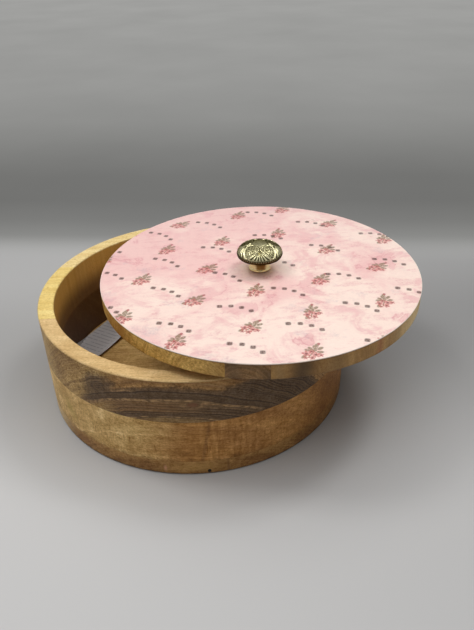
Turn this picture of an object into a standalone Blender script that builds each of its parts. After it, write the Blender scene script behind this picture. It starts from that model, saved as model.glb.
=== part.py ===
"""Round wooden box for flatbreads, with a lift-off lid and a metal knob.

Units are metres and +Z is up. The origin is the centre of the box's underside.
The box is turned from glued-up planks that run along X. The lid's planks run
along Y. The lid lies open on the rim, pushed to the right and to the front.
"""
import math

import bmesh
import bpy
from mathutils import Vector

# Box: a base board with two turned rings glued on it
BOX_DIAMETER = 0.254
WALL_THICKNESS = 0.0127
BASE_THICKNESS = 0.013
LOWER_RING_HEIGHT = 0.038
UPPER_RING_HEIGHT = 0.037
FOOT_ROUNDING = 0.0015
RIM_ROUNDING = 0.0013
GLUE_LINE = 0.0003

# Glue joints between the box's planks, measured from the box's axis
BASE_FRONT_JOINT_Y = -0.033
BASE_BACK_JOINT_Y = 0.052
LOWER_FRONT_JOINT_Y = -0.030
LOWER_BACK_JOINT_Y = 0.049
UPPER_FRONT_JOINT_Y = -0.038
UPPER_BACK_JOINT_Y = 0.046

# Lid: a board with a printed sheet on top and a locating disc below
LID_DIAMETER = 0.254
LID_EDGE_THICKNESS = 0.013
PRINT_SHEET_THICKNESS = 0.001
LID_EDGE_ROUNDING = 0.0010
LID_LEFT_JOINT_X = -0.0374
LID_RIGHT_JOINT_X = -0.0082
LOCATING_STEP_HEIGHT = 0.006
LOCATING_CLEARANCE = 0.0013
LOCATING_CHAMFER = 0.0010
LID_SHIFT_X = 0.0535
LID_SHIFT_Y = -0.0124
REST_GAP = 0.0003

# Knob: a turned stem with a flange, and an embossed shell pressed over the flange
KNOB_FOOT_DIAMETER = 0.0178
KNOB_NECK_DIAMETER = 0.0158
KNOB_FOOT_HEIGHT = 0.0020
KNOB_NECK_HEIGHT = 0.0056
KNOB_CAP_DIAMETER = 0.0360
KNOB_CAP_RISE = 0.0094
KNOB_CAP_LEVEL = 0.0135
CAP_SHEET = 0.0010
CAP_LIP_DEPTH = 0.0016
CAP_LIP_WIDTH = 0.0022
CAP_PLAY = 0.0003
PETAL_COUNT = 6
PETAL_RELIEF = 0.0005
PETAL_TURN = math.radians(-7.0)

# Outline of the cap's relief, as shares of a lobe's pitch and of the climb from rim to top
LOBE_HALF_WIDTH = 0.38
LOBE_CLIMB = 0.51
LOBE_HALF_HEIGHT = 0.28
FAN_HALF_WIDTH = 0.15
FAN_CLIMB = 0.28
FAN_HALF_HEIGHT = 0.12
BOSS_SHARE = 0.11
RIM_SHARE = 0.16
RELIEF_SLOPE = 0.40

# Fixing screw with its washer
SCREW_DIAMETER = 0.004
SCREW_IN_STEM = 0.0100
SCREW_CLEARANCE = 0.0003
SCREW_HEAD_DIAMETER = 0.0080
SCREW_HEAD_HEIGHT = 0.0026
SLOT_WIDTH = 0.0010
SLOT_LENGTH = 0.0052
SLOT_DEPTH = 0.0014
WASHER_DIAMETER = 0.0110
WASHER_THICKNESS = 0.0010
HEAD_RECESS_PLAY = 0.0015

# Paper label on the box's floor
LABEL_LENGTH = 0.055
LABEL_WIDTH = 0.032
LABEL_THICKNESS = 0.0003
LABEL_EDGE_DISTANCE = 0.0801
LABEL_BEARING = math.radians(146.6)
LABEL_SLIDE = -0.016
LABEL_CURL = 0.0022
LABEL_CURL_WIDTH = 0.010
LABEL_WALL_GAP = 0.0006

# Fineness of the turned shapes
BOARD_STEPS = 96
KNOB_STEPS = 40
CAP_STEPS_PER_PETAL = 14
CAP_RINGS = 16
SCREW_STEPS = 24
ROUNDING_STEPS = 3
LABEL_ROWS = 9
LABEL_COLUMNS = 9

# Sizes that follow from the ones above
BOX_RADIUS = BOX_DIAMETER / 2
BORE_RADIUS = BOX_RADIUS - WALL_THICKNESS
LOWER_RING_FOOT = BASE_THICKNESS
UPPER_RING_FOOT = LOWER_RING_FOOT + LOWER_RING_HEIGHT
BOX_HEIGHT = UPPER_RING_FOOT + UPPER_RING_HEIGHT
LID_RADIUS = LID_DIAMETER / 2
LID_BOARD_THICKNESS = LID_EDGE_THICKNESS - PRINT_SHEET_THICKNESS - GLUE_LINE
LOCATING_RADIUS = BORE_RADIUS - LOCATING_CLEARANCE
LID_UNDERSIDE = BOX_HEIGHT + REST_GAP + LOCATING_STEP_HEIGHT
SCREW_HOLE_RADIUS = SCREW_DIAMETER / 2 + SCREW_CLEARANCE
HEAD_RECESS_RADIUS = WASHER_DIAMETER / 2 + HEAD_RECESS_PLAY
CAP_RADIUS = KNOB_CAP_DIAMETER / 2
CAP_LIP_LEVEL = KNOB_CAP_LEVEL - CAP_LIP_DEPTH
SCREW_HEAD_BOTTOM = -REST_GAP * 2 - WASHER_THICKNESS - SCREW_HEAD_HEIGHT
ALONG_X = Vector((1.0, 0.0, 0.0))
ALONG_Y = Vector((0.0, 1.0, 0.0))


def clear_scene():
    for obj in list(bpy.data.objects):
        bpy.data.objects.remove(obj, do_unlink=True)


def make_material(name, colour, roughness, metallic=0.0):
    """A Principled material with one colour, linear RGB."""
    material = bpy.data.materials.new(name)
    material.use_nodes = True
    shader = material.node_tree.nodes["Principled BSDF"]
    shader.inputs["Base Color"].default_value = (*colour, 1.0)
    shader.inputs["Roughness"].default_value = roughness
    shader.inputs["Metallic"].default_value = metallic
    return material


def make_empty(name, location, parent=None):
    empty = bpy.data.objects.new(name, None)
    empty.empty_display_size = 0.03
    empty.location = location
    empty.parent = parent
    bpy.context.collection.objects.link(empty)
    return empty


def make_node(name, shape, material, parent, smooth_angle=30.0):
    """Turn a bmesh into a named object under its parent, shaded smooth."""
    bmesh.ops.recalc_face_normals(shape, faces=shape.faces)
    mesh = bpy.data.meshes.new(name)
    shape.to_mesh(mesh)
    shape.free()
    mesh.shade_smooth()
    mesh.set_sharp_from_angle(angle=math.radians(smooth_angle))
    mesh.materials.append(material)
    obj = bpy.data.objects.new(name, mesh)
    obj.parent = parent
    bpy.context.collection.objects.link(obj)
    return obj


def rounded_corner(corner, before, after, radius):
    """Points of an arc that rounds a square corner of a profile."""
    corner = Vector(corner)
    start = (Vector(before) - corner).normalized() * radius
    end = (Vector(after) - corner).normalized() * radius
    centre = corner + start + end
    points = []
    for step in range(ROUNDING_STEPS + 1):
        angle = math.pi / 2 * step / ROUNDING_STEPS
        points.append(tuple(centre - end * math.cos(angle) - start * math.sin(angle)))
    return points


def turned(profile, steps, closed):
    """Spin a profile of (radius, height) points round Z into one closed solid.

    A closed profile makes a ring. An open one starts and ends on the axis.
    """
    shape = bmesh.new()
    corners = [shape.verts.new((radius, 0.0, height)) for radius, height in profile]
    for first, second in zip(corners, corners[1:]):
        shape.edges.new((first, second))
    if closed:
        shape.edges.new((corners[-1], corners[0]))
    bmesh.ops.spin(
        shape,
        geom=list(shape.verts) + list(shape.edges),
        axis=(0.0, 0.0, 1.0),
        cent=(0.0, 0.0, 0.0),
        angle=math.tau,
        steps=steps,
        use_merge=True,
    )
    bmesh.ops.remove_doubles(shape, verts=shape.verts, dist=1e-7)
    return shape


def saw_off(shape, point, outward):
    """Saw the shape along a plane, drop what lies outward of it and close the cut."""
    cut = bmesh.ops.bisect_plane(
        shape,
        geom=list(shape.verts) + list(shape.edges) + list(shape.faces),
        dist=1e-7,
        plane_co=point,
        plane_no=outward,
        clear_outer=True,
    )
    edges = [item for item in cut["geom_cut"] if isinstance(item, bmesh.types.BMEdge)]
    if edges:
        bmesh.ops.edgeloop_fill(shape, edges=edges)


def plank(shape, across, low=None, high=None):
    """Keep the part of a turned shape that lies in one plank, less half a glue line."""
    if low is not None:
        saw_off(shape, across * (low + GLUE_LINE / 2), -across)
    if high is not None:
        saw_off(shape, across * (high - GLUE_LINE / 2), across)
    return shape


def keep_side(shape, towards):
    """Keep the separate arcs of a shape that lie on one side of the axis."""
    away = [corner for corner in shape.verts if corner.co.dot(towards) < 0.0]
    bmesh.ops.delete(shape, geom=away, context="VERTS")
    return shape


def disc_profile(radius, bottom, top, rounding=0.0, bore=0.0):
    """Half section of a disc or, with a bore, of a ring, rounded at its lower edge."""
    edge = [(radius, bottom)]
    if rounding:
        edge = rounded_corner((radius, bottom), (bore, bottom), (radius, top), rounding)
    return [(bore, bottom), *edge, (radius, top), (bore, top)]


def base_shape():
    profile = disc_profile(BOX_RADIUS, 0.0, BASE_THICKNESS, rounding=FOOT_ROUNDING)
    return turned(profile, BOARD_STEPS, closed=False)


def lower_ring_shape():
    bottom = LOWER_RING_FOOT + GLUE_LINE
    profile = disc_profile(BOX_RADIUS, bottom, UPPER_RING_FOOT, bore=BORE_RADIUS)
    return turned(profile, BOARD_STEPS, closed=True)


def upper_ring_shape():
    bottom = UPPER_RING_FOOT + GLUE_LINE
    outer = rounded_corner(
        (BOX_RADIUS, BOX_HEIGHT), (BOX_RADIUS, bottom), (BORE_RADIUS, BOX_HEIGHT), RIM_ROUNDING
    )
    inner = rounded_corner(
        (BORE_RADIUS, BOX_HEIGHT), (BOX_RADIUS, BOX_HEIGHT), (BORE_RADIUS, bottom), RIM_ROUNDING
    )
    profile = [(BORE_RADIUS, bottom), (BOX_RADIUS, bottom), *outer, *inner]
    return turned(profile, BOARD_STEPS, closed=True)


def build_base(parent, wood):
    parts = (
        ("base_board_front", None, BASE_FRONT_JOINT_Y),
        ("base_board_middle", BASE_FRONT_JOINT_Y, BASE_BACK_JOINT_Y),
        ("base_board_back", BASE_BACK_JOINT_Y, None),
    )
    for name, low, high in parts:
        make_node(name, plank(base_shape(), ALONG_Y, low, high), wood[name], parent)


def build_ring(ring, ring_shape, front_joint, back_joint, parent, wood):
    """A ring sawn from three planks: the middle one leaves a left and a right arc."""
    front = plank(ring_shape(), ALONG_Y, None, front_joint)
    back = plank(ring_shape(), ALONG_Y, back_joint, None)
    left = keep_side(plank(ring_shape(), ALONG_Y, front_joint, back_joint), -ALONG_X)
    right = keep_side(plank(ring_shape(), ALONG_Y, front_joint, back_joint), ALONG_X)
    for side, shape in (("front", front), ("left", left), ("right", right), ("back", back)):
        name = f"{ring}_{side}"
        make_node(name, shape, wood[name], parent)


def label_point(along, across):
    """Place a point of the flat label on the floor, curled at its free edge and wall."""
    outward = Vector((math.cos(LABEL_BEARING), math.sin(LABEL_BEARING), 0.0))
    sideways = Vector((outward.y, -outward.x, 0.0))
    flat = outward * (LABEL_EDGE_DISTANCE + across) + sideways * (along + LABEL_SLIDE)
    height = BASE_THICKNESS + GLUE_LINE
    if across < LABEL_CURL_WIDTH:
        height += LABEL_CURL * (1.0 - across / LABEL_CURL_WIDTH) ** 2
    reach = BORE_RADIUS - LABEL_WALL_GAP - LABEL_THICKNESS
    over = flat.length - reach
    if over > 0.0:
        flat = flat.normalized() * reach
        height += over
    return flat + Vector((0.0, 0.0, height))


def build_label(parent, material):
    shape = bmesh.new()
    grid = []
    for row in range(LABEL_ROWS + 1):
        across = LABEL_WIDTH * row / LABEL_ROWS
        line = []
        for column in range(LABEL_COLUMNS + 1):
            along = LABEL_LENGTH * (column / LABEL_COLUMNS - 0.5)
            line.append(shape.verts.new(label_point(along, across)))
        grid.append(line)
    for low, high in zip(grid, grid[1:]):
        for index in range(LABEL_COLUMNS):
            shape.faces.new((low[index], low[index + 1], high[index + 1], high[index]))
    bmesh.ops.recalc_face_normals(shape, faces=shape.faces)
    upward = sum((face.normal for face in shape.faces), Vector()).z > 0.0
    label = make_node("paper_label", shape, material, parent, smooth_angle=60.0)
    thickness = label.modifiers.new("Paper thickness", "SOLIDIFY")
    thickness.thickness = LABEL_THICKNESS
    thickness.offset = 1.0 if upward else -1.0


def lid_board_shape():
    profile = disc_profile(
        LID_RADIUS, 0.0, LID_BOARD_THICKNESS, rounding=LID_EDGE_ROUNDING, bore=SCREW_HOLE_RADIUS
    )
    return turned(profile, BOARD_STEPS, closed=True)


def build_lid_board(parent, wood):
    parts = (
        ("lid_board_left", None, LID_LEFT_JOINT_X),
        ("lid_board_middle", LID_LEFT_JOINT_X, LID_RIGHT_JOINT_X),
        ("lid_board_right", LID_RIGHT_JOINT_X, None),
    )
    for name, low, high in parts:
        make_node(name, plank(lid_board_shape(), ALONG_X, low, high), wood[name], parent)


def build_locating_disc(parent, material):
    """The disc under the lid, bored for the screw's head and washer."""
    profile = [
        (HEAD_RECESS_RADIUS, -LOCATING_STEP_HEIGHT),
        (LOCATING_RADIUS - LOCATING_CHAMFER, -LOCATING_STEP_HEIGHT),
        (LOCATING_RADIUS, -LOCATING_STEP_HEIGHT + LOCATING_CHAMFER),
        (LOCATING_RADIUS, -GLUE_LINE),
        (HEAD_RECESS_RADIUS, -GLUE_LINE),
    ]
    make_node("locating_disc", turned(profile, BOARD_STEPS, closed=True), material, parent)


def build_print_sheet(parent, material):
    bottom = LID_BOARD_THICKNESS + GLUE_LINE
    profile = disc_profile(LID_RADIUS, bottom, LID_EDGE_THICKNESS, bore=SCREW_HOLE_RADIUS)
    make_node("print_sheet", turned(profile, BOARD_STEPS, closed=True), material, parent)


def arc_points(centre, radii, start_degrees, end_degrees, steps):
    """Points on an elliptic arc in the (radius, height) plane."""
    points = []
    for step in range(steps + 1):
        angle = math.radians(start_degrees + (end_degrees - start_degrees) * step / steps)
        radius = centre[0] + radii[0] * math.cos(angle)
        height = centre[1] + radii[1] * math.sin(angle)
        points.append((max(radius, 0.0), height))
    return points


def stem_profile():
    """Foot, waisted neck, flaring underside, flange edge, domed head and tapped hole."""
    foot = KNOB_FOOT_DIAMETER / 2
    foot_rounding = KNOB_FOOT_HEIGHT / 2
    neck = KNOB_NECK_DIAMETER / 2
    waist = foot - foot_rounding / 2 - neck
    waist_height = KNOB_NECK_HEIGHT - KNOB_FOOT_HEIGHT
    flange = CAP_RADIUS - CAP_LIP_WIDTH - CAP_PLAY
    flare = flange - neck
    flare_height = CAP_LIP_LEVEL - KNOB_NECK_HEIGHT
    flange_foot = CAP_LIP_LEVEL + CAP_SHEET + CAP_PLAY
    head = CAP_RADIUS - CAP_SHEET - CAP_PLAY
    head_rise = KNOB_CAP_RISE - CAP_SHEET - CAP_PLAY
    hole_top = REST_GAP + SCREW_IN_STEM + SCREW_CLEARANCE

    points = [(SCREW_HOLE_RADIUS, REST_GAP)]
    foot_centre = (foot - foot_rounding, REST_GAP + foot_rounding)
    points += arc_points(foot_centre, (foot_rounding, foot_rounding), -90, 60, 4)
    points += arc_points((neck + waist, KNOB_NECK_HEIGHT), (waist, waist_height), 240, 180, 4)
    points += arc_points((flange, KNOB_NECK_HEIGHT), (flare, flare_height), 165, 90, 5)
    points += [(flange, flange_foot), (head, flange_foot)]
    points += arc_points((0.0, KNOB_CAP_LEVEL), (head, head_rise), 0, 90, 6)
    points += [(0.0, hole_top), (SCREW_HOLE_RADIUS, hole_top)]
    return points


def petal_height(turn, climb):
    """Relief of the cap at a turn round the axis and a climb from rim (0) to top (1).

    A ring of rounded lobes stands up from the dome. A short fan fills the gap
    between two lobes above the plain rim, and a round boss closes the top.
    """
    across = ((turn - PETAL_TURN) / math.tau * PETAL_COUNT + 0.5) % 1.0 - 0.5
    lobe = math.hypot(across / LOBE_HALF_WIDTH, (climb - LOBE_CLIMB) / LOBE_HALF_HEIGHT)
    fan = math.hypot((0.5 - abs(across)) / FAN_HALF_WIDTH, (climb - FAN_CLIMB) / FAN_HALF_HEIGHT)
    boss = (1.0 - climb) / BOSS_SHARE
    inside = (1.0 + RELIEF_SLOPE / 2 - min(lobe, fan, boss)) / RELIEF_SLOPE
    above_rim = climb / RIM_SHARE - 0.5
    return PETAL_RELIEF * max(0.0, min(1.0, inside, above_rim))


def cap_shape():
    """The pressed shell: a dome with raised petals and a lip closed under the flange."""
    inside = CAP_RADIUS - CAP_SHEET
    inside_rise = KNOB_CAP_RISE - CAP_SHEET
    lip_inner = CAP_RADIUS - CAP_LIP_WIDTH
    lip_top = CAP_LIP_LEVEL + CAP_SHEET
    middle = (0.0, KNOB_CAP_LEVEL)
    profile = arc_points(middle, (CAP_RADIUS, KNOB_CAP_RISE), 90, 0, CAP_RINGS)
    profile += arc_points((inside, KNOB_CAP_LEVEL), (CAP_SHEET, CAP_LIP_DEPTH), -30, -90, 2)
    profile += [(lip_inner, CAP_LIP_LEVEL), (lip_inner, lip_top), (inside, lip_top)]
    profile += arc_points(middle, (inside, inside_rise), 0, 90, 6)
    shape = turned(profile, PETAL_COUNT * CAP_STEPS_PER_PETAL, closed=False)
    for corner in shape.verts:
        emboss(corner)
    return shape


def emboss(corner):
    """Push a point of the cap's outer dome out by the relief there."""
    radius = math.hypot(corner.co.x, corner.co.y) / CAP_RADIUS
    level = (corner.co.z - KNOB_CAP_LEVEL) / KNOB_CAP_RISE
    outer_share = 1.0 - CAP_SHEET / KNOB_CAP_DIAMETER
    if level <= 0.0 or math.hypot(radius, level) < outer_share:
        return
    climb = 1.0 - math.atan2(radius, level) / (math.pi / 2)
    outward = Vector((
        corner.co.x / CAP_RADIUS ** 2,
        corner.co.y / CAP_RADIUS ** 2,
        (corner.co.z - KNOB_CAP_LEVEL) / KNOB_CAP_RISE ** 2,
    ))
    height = petal_height(math.atan2(corner.co.y, corner.co.x), climb)
    corner.co += outward.normalized() * height


def build_knob(parent, polished, antique):
    make_node("knob_stem", turned(stem_profile(), KNOB_STEPS, closed=True), polished, parent)
    make_node("knob_cap", cap_shape(), antique, parent)


def screw_shape():
    """Shank and rounded head, in the lid's own frame, with the head below."""
    shank = SCREW_DIAMETER / 2
    head = SCREW_HEAD_DIAMETER / 2
    head_rounding = SCREW_HEAD_HEIGHT / 2
    top = LID_EDGE_THICKNESS + REST_GAP + SCREW_IN_STEM
    head_top = SCREW_HEAD_BOTTOM + SCREW_HEAD_HEIGHT
    points = [(0.0, top), (shank / 2, top), (shank, top - shank / 2), (shank, head_top)]
    points.append((head, head_top))
    corner_centre = (head - head_rounding, SCREW_HEAD_BOTTOM + head_rounding)
    points += arc_points(corner_centre, (head_rounding, head_rounding), 0, -90, 4)
    points.append((0.0, SCREW_HEAD_BOTTOM))
    return turned(points, SCREW_STEPS, closed=False)


def add_slot(screw, name, size_x, size_y, material):
    """Cut one slot of the cross recess into the screw's head from below."""
    tool = bmesh.new()
    bmesh.ops.create_cube(tool, size=1.0)
    bmesh.ops.scale(tool, vec=(size_x, size_y, SLOT_DEPTH * 2), verts=tool.verts)
    bmesh.ops.translate(tool, vec=(0.0, 0.0, SCREW_HEAD_BOTTOM), verts=tool.verts)
    cutter = make_node(name, tool, material, screw.parent)
    cutter.hide_render = True
    cutter.display_type = "WIRE"
    recess = screw.modifiers.new(name, "BOOLEAN")
    recess.operation = "DIFFERENCE"
    recess.solver = "EXACT"
    recess.object = cutter


def build_screw(parent, steel):
    screw = make_node("fixing_screw", screw_shape(), steel, parent)
    add_slot(screw, "slot_along_x", SLOT_LENGTH, SLOT_WIDTH, steel)
    add_slot(screw, "slot_along_y", SLOT_WIDTH, SLOT_LENGTH, steel)
    washer = disc_profile(
        WASHER_DIAMETER / 2, -REST_GAP - WASHER_THICKNESS, -REST_GAP, bore=SCREW_HOLE_RADIUS
    )
    make_node("screw_washer", turned(washer, SCREW_STEPS, closed=True), steel, parent)


def wood_materials():
    """One wood for each plank, as the boards differ in colour."""
    tones = {
        "base_board_front": (0.230, 0.130, 0.055),
        "base_board_middle": (0.260, 0.160, 0.075),
        "base_board_back": (0.240, 0.145, 0.065),
        "lower_ring_front": (0.270, 0.165, 0.070),
        "lower_ring_left": (0.330, 0.215, 0.090),
        "lower_ring_right": (0.250, 0.140, 0.060),
        "lower_ring_back": (0.300, 0.190, 0.080),
        "upper_ring_front": (0.110, 0.075, 0.048),
        "upper_ring_left": (0.480, 0.340, 0.130),
        "upper_ring_right": (0.400, 0.270, 0.110),
        "upper_ring_back": (0.470, 0.330, 0.130),
        "lid_board_left": (0.320, 0.190, 0.060),
        "lid_board_middle": (0.170, 0.115, 0.060),
        "lid_board_right": (0.200, 0.130, 0.055),
    }
    return {name: make_material(name, tone, 0.55) for name, tone in tones.items()}


def build():
    clear_scene()
    wood = wood_materials()
    plywood = make_material("locating_disc", (0.350, 0.220, 0.100), 0.6)
    printed = make_material("print_sheet", (0.830, 0.600, 0.540), 0.3)
    polished = make_material("polished_brass", (0.800, 0.600, 0.280), 0.2, 1.0)
    antique = make_material("antique_brass", (0.420, 0.380, 0.250), 0.35, 1.0)
    steel = make_material("steel", (0.550, 0.550, 0.560), 0.35, 1.0)
    paper = make_material("paper", (0.650, 0.650, 0.650), 0.8)

    box = make_empty("box", (0.0, 0.0, 0.0))
    build_base(box, wood)
    build_ring(
        "lower_ring", lower_ring_shape, LOWER_FRONT_JOINT_Y, LOWER_BACK_JOINT_Y, box, wood
    )
    build_ring(
        "upper_ring", upper_ring_shape, UPPER_FRONT_JOINT_Y, UPPER_BACK_JOINT_Y, box, wood
    )
    build_label(box, paper)

    lid = make_empty("lid", (LID_SHIFT_X, LID_SHIFT_Y, LID_UNDERSIDE), box)
    build_lid_board(lid, wood)
    build_locating_disc(lid, plywood)
    build_print_sheet(lid, printed)
    build_screw(lid, steel)
    knob = make_empty("knob", (0.0, 0.0, LID_EDGE_THICKNESS), lid)
    build_knob(knob, polished, antique)
    bpy.context.view_layer.update()


build()
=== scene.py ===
"""Looks of a round wooden bread box with a printed lid and an embossed metal knob.

Lengths are metres in the model's own frame, and the shaders work in millimetres.
The box's planks run along X and the lid's planks run along Y.
"""

import math

import bmesh
import bpy
from mathutils import Matrix, Vector


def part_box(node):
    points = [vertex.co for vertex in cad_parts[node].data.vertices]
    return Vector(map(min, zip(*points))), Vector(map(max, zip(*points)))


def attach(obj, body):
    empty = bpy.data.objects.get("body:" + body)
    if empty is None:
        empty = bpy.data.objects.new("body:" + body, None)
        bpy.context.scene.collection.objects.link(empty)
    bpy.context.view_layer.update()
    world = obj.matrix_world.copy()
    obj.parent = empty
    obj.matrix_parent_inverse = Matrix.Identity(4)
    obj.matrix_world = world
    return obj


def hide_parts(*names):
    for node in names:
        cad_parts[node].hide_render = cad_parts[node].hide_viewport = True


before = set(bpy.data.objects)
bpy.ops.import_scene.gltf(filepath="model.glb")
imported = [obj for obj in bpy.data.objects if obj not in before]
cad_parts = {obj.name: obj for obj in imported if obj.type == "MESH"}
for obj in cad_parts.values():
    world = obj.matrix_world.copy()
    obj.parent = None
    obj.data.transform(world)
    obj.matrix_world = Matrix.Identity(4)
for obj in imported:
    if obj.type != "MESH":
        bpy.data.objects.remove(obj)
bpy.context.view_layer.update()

MM = 0.001
UP = Vector((0, 0, 1))
ALONG_X = Vector((1, 0, 0))
ALONG_Y = Vector((0, 1, 0))

# Sizes read from the frame
BASE_LOW, BASE_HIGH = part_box("base_board_middle")
LOWER_LOW, LOWER_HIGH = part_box("lower_ring_front")
UPPER_LOW, UPPER_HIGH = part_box("upper_ring_front")
SHEET_LOW, SHEET_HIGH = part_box("print_sheet")
BOARD_LOW, BOARD_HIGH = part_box("lid_board_middle")
DISC_LOW, DISC_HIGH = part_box("locating_disc")
STEM_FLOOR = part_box("knob_stem")[0].z
SCREW_LOW, SCREW_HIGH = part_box("fixing_screw")
WASHER_LOW, WASHER_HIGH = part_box("screw_washer")

BOX_RADIUS = -UPPER_LOW.y
BOX_CENTRE = Vector((0, 0, 0))
LID_RADIUS = (SHEET_HIGH.x - SHEET_LOW.x) / 2
LID_CENTRE = Vector(((SHEET_HIGH.x + SHEET_LOW.x) / 2, (SHEET_HIGH.y + SHEET_LOW.y) / 2, 0))
DISC_RADIUS = (DISC_HIGH.x - DISC_LOW.x) / 2

# Sizes of the turned wood
WALL = 12.7 * MM
BORE_RADIUS = BOX_RADIUS - WALL
FOOT_ROUNDING = 1.5 * MM
RIM_ROUNDING = 1.3 * MM
RING_CHAMFER = 0.08 * MM
PLANK_GAP = 0.06 * MM
RING_REACH = 0.12 * MM
LID_ROUNDING = 1 * MM
SHEET_ROUNDING = 0.25 * MM
SCREW_HOLE = 2.3 * MM
HEAD_RECESS = 7 * MM
DISC_CHAMFER = 1 * MM
BOARD_CHAMFER = 0.1 * MM
RECESS_CHAMFER = 0.3 * MM
TURNING_STEPS = 288
# The radius and steps of a corner that is left as it is
SHARP = (0, 0)

# Measures that the shaders use, in millimetres
BORE = BORE_RADIUS / MM
RIM = UPPER_HIGH.z / MM
PRINT = SHEET_HIGH.z / MM
CAP_FOOT = PRINT + 13.5
RULE_PITCH = 4.6

# A small dent in the front of the base
NICK_X = 2.7
NICK_Z = 3


def glue_joints(board, sides, axis):
    """Glue joints in a row of three planks, each midway between the two nodes that meet there."""
    boxes = [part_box(f"{board}_{side}") for side in sides]
    return [(before[1][axis] + after[0][axis]) / 2 for before, after in zip(boxes, boxes[1:])]


BASE_JOINTS = glue_joints("base_board", ("front", "middle", "back"), 1)
LOWER_JOINTS = glue_joints("lower_ring", ("front", "left", "back"), 1)
UPPER_JOINTS = glue_joints("upper_ring", ("front", "left", "back"), 1)
LID_JOINTS = glue_joints("lid_board", ("left", "middle", "right"), 0)

# Knob: a stem, and a cap whose ornament is placed by its climb, 0 at the rim and 1 at the top
CAP_RADIUS = 18 * MM
CAP_RISE = 9.4 * MM
CAP_LEVEL = CAP_FOOT * MM
CAP_SHEET = 1 * MM
CAP_LIP_LEVEL = CAP_LEVEL - 1.6 * MM
CAP_LIP_WIDTH = 2.2 * MM
CAP_PLAY = 0.3 * MM
CAP_SLOPE_LENGTH = 1.22 * CAP_RADIUS
CAP_STEPS = 480
CAP_RINGS = 116
LOBES = 5
CAP_TURN = math.radians(-61)
LOBE_CLIMB = 0.62
LOBE_RISE = 0.17
LOBE_DROP = 0.50
LOBE_SPREAD = 0.475
LOBE_TAPER = 0.87
BORDER_REACH = 0.94
GROUND_REACH = 0.88
GROUND_HEIGHT = 0.42
PUNCH_PITCH = 1.15 * MM
PUNCH_RADIUS = 0.64 * MM
FAN_APEX = 0.535
FAN_FOOT = 0.13
RAYS = 11
RAY_START = 1.2 * MM
RING_CLIMB = 0.115
FLUTE_CLIMB = 0.05
FLUTES = 6
DISC_CLIMB = 0.81
DISC_HEIGHT = 0.46
RELIEF = 0.5 * MM
STEM_FOOT = 8.9 * MM
STEM_NECK = 7.9 * MM
STEM_FOOT_HEIGHT = 2 * MM
STEM_NECK_HEIGHT = 5.6 * MM
STEM_STEPS = 128
SCREW_STEPS = 64
SHANK_RADIUS = 2 * MM
HEAD_RADIUS = 4 * MM
SLOT_LENGTH = 5.2 * MM
SLOT_WIDTH = 1 * MM
SLOT_DEPTH = 1.4 * MM
WASHER_RADIUS = 5.5 * MM
WASHER_ROUNDING = 0.15 * MM

# Paper label on the box's floor
LABEL_LENGTH = 55 * MM
LABEL_WIDTH = 32 * MM
LABEL_THICKNESS = 0.22 * MM
LABEL_GAP = 0.3 * MM
LABEL_EDGE_DISTANCE = 80.1 * MM
LABEL_BEARING = math.radians(146.6)
LABEL_SLIDE = -16 * MM
LABEL_CURL = 2.2 * MM
LABEL_CURL_WIDTH = 10 * MM
LABEL_WALL_GAP = 0.9 * MM


def rgb(red, green, blue):
    """A colour given in 0 to 255 display values, as linear RGBA."""
    def linear(level):
        share = level / 255
        return share / 12.92 if share <= 0.04045 else ((share + 0.055) / 1.055) ** 2.4

    return (linear(red), linear(green), linear(blue), 1)


class Number:
    """A number that varies over a surface, so that shader maths reads as arithmetic."""

    def __init__(self, nodes, socket):
        self.nodes = nodes
        self.socket = socket

    def __add__(self, other):
        return self.nodes.maths("ADD", self, other)

    __radd__ = __add__

    def __mul__(self, other):
        return self.nodes.maths("MULTIPLY", self, other)

    __rmul__ = __mul__

    def __sub__(self, other):
        return self.nodes.maths("SUBTRACT", self, other)

    def __rsub__(self, other):
        return self.nodes.maths("SUBTRACT", other, self)

    def __truediv__(self, other):
        return self.nodes.maths("DIVIDE", self, other)

    def __neg__(self):
        return self.nodes.maths("MULTIPLY", self, -1)

    def __abs__(self):
        return self.nodes.maths("ABSOLUTE", self)

    def step(self, low, high):
        """0 below low, 1 above high and smooth between. Falls instead if low is above high."""
        sockets = {"Value": self, "From Min": min(low, high), "From Max": max(low, high)}
        if low > high:
            sockets.update({"To Min": 1, "To Max": 0})
        return self.nodes.number("ShaderNodeMapRange", {"interpolation_type": "SMOOTHSTEP"}, sockets)

    def hump(self, middle, half_width):
        """1 at the middle, falling smoothly to 0 at half_width either side."""
        return abs(self - middle).step(half_width, 0)


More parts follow.
